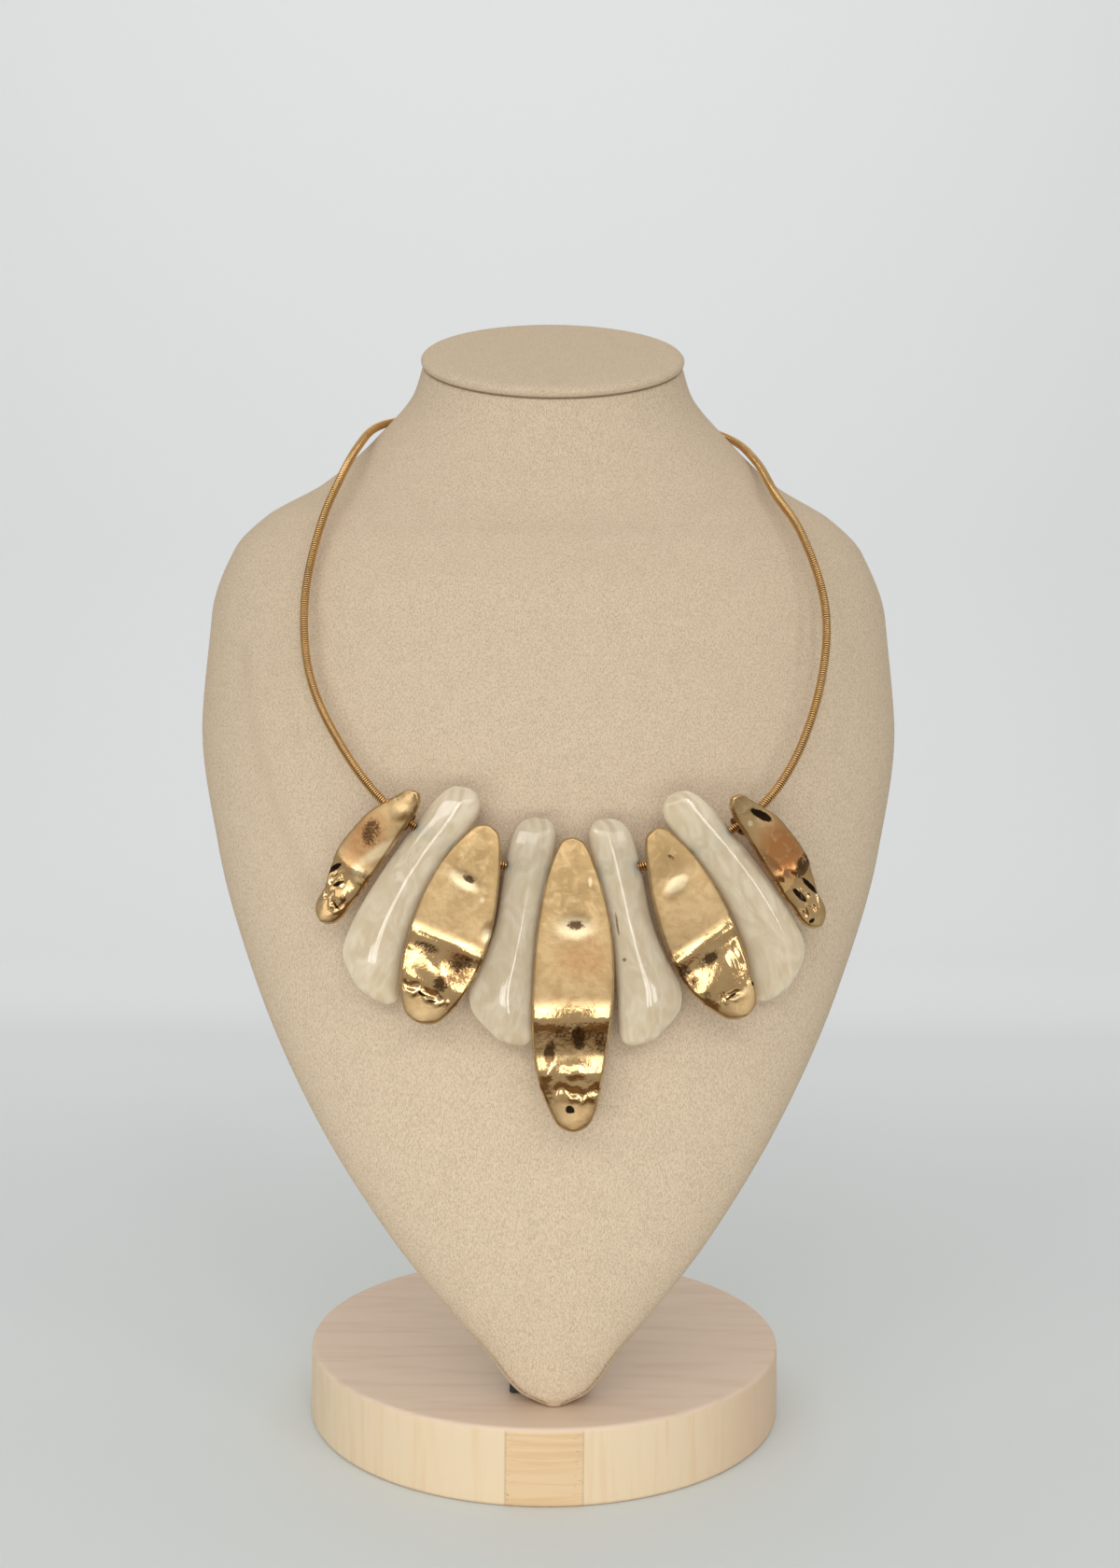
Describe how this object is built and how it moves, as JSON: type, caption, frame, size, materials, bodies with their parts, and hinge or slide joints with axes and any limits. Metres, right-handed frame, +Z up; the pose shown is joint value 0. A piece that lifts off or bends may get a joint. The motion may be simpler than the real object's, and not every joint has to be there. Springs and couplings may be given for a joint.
{
  "type": "stone necklace on neck bust stand",
  "caption": "Collar necklace of hammered gilt plates and cream tusk stones on a wound gilt wire, shown on a suede neck bust with a round wooden foot.",
  "frame": {"origin": "middle of the wooden disc's underside, which stands on the table", "axes": "+Z up, the necklace's front faces -Y, +X to the viewer's right"},
  "size_m": [0.2001, 0.13, 0.3169],
  "materials": {
    "wood": "oiled, three glued staves",
    "black_steel": "black paint, satin",
    "suede": "brushed suede nap",
    "wound_gilt": "gilt wire wound over a core",
    "hammered_gilt": "worn gilt, part satin and part polished",
    "cream_stone": "polished cream with pale swirls"
  },
  "bodies": {
    "root": {"base_disc": "wood", "base_bracket": "black_steel", "bust_form": "suede", "neck_cap": "suede", "collar_wire": "wound_gilt", "collar_clasp": "wound_gilt", "gold_centre": "hammered_gilt", "gold_mid_left": "hammered_gilt", "gold_mid_right": "hammered_gilt", "gold_outer_left": "hammered_gilt", "gold_outer_right": "hammered_gilt", "stone_inner_left": "cream_stone", "stone_inner_right": "cream_stone", "stone_outer_left": "cream_stone", "stone_outer_right": "cream_stone"}
  },
  "joints": []
}
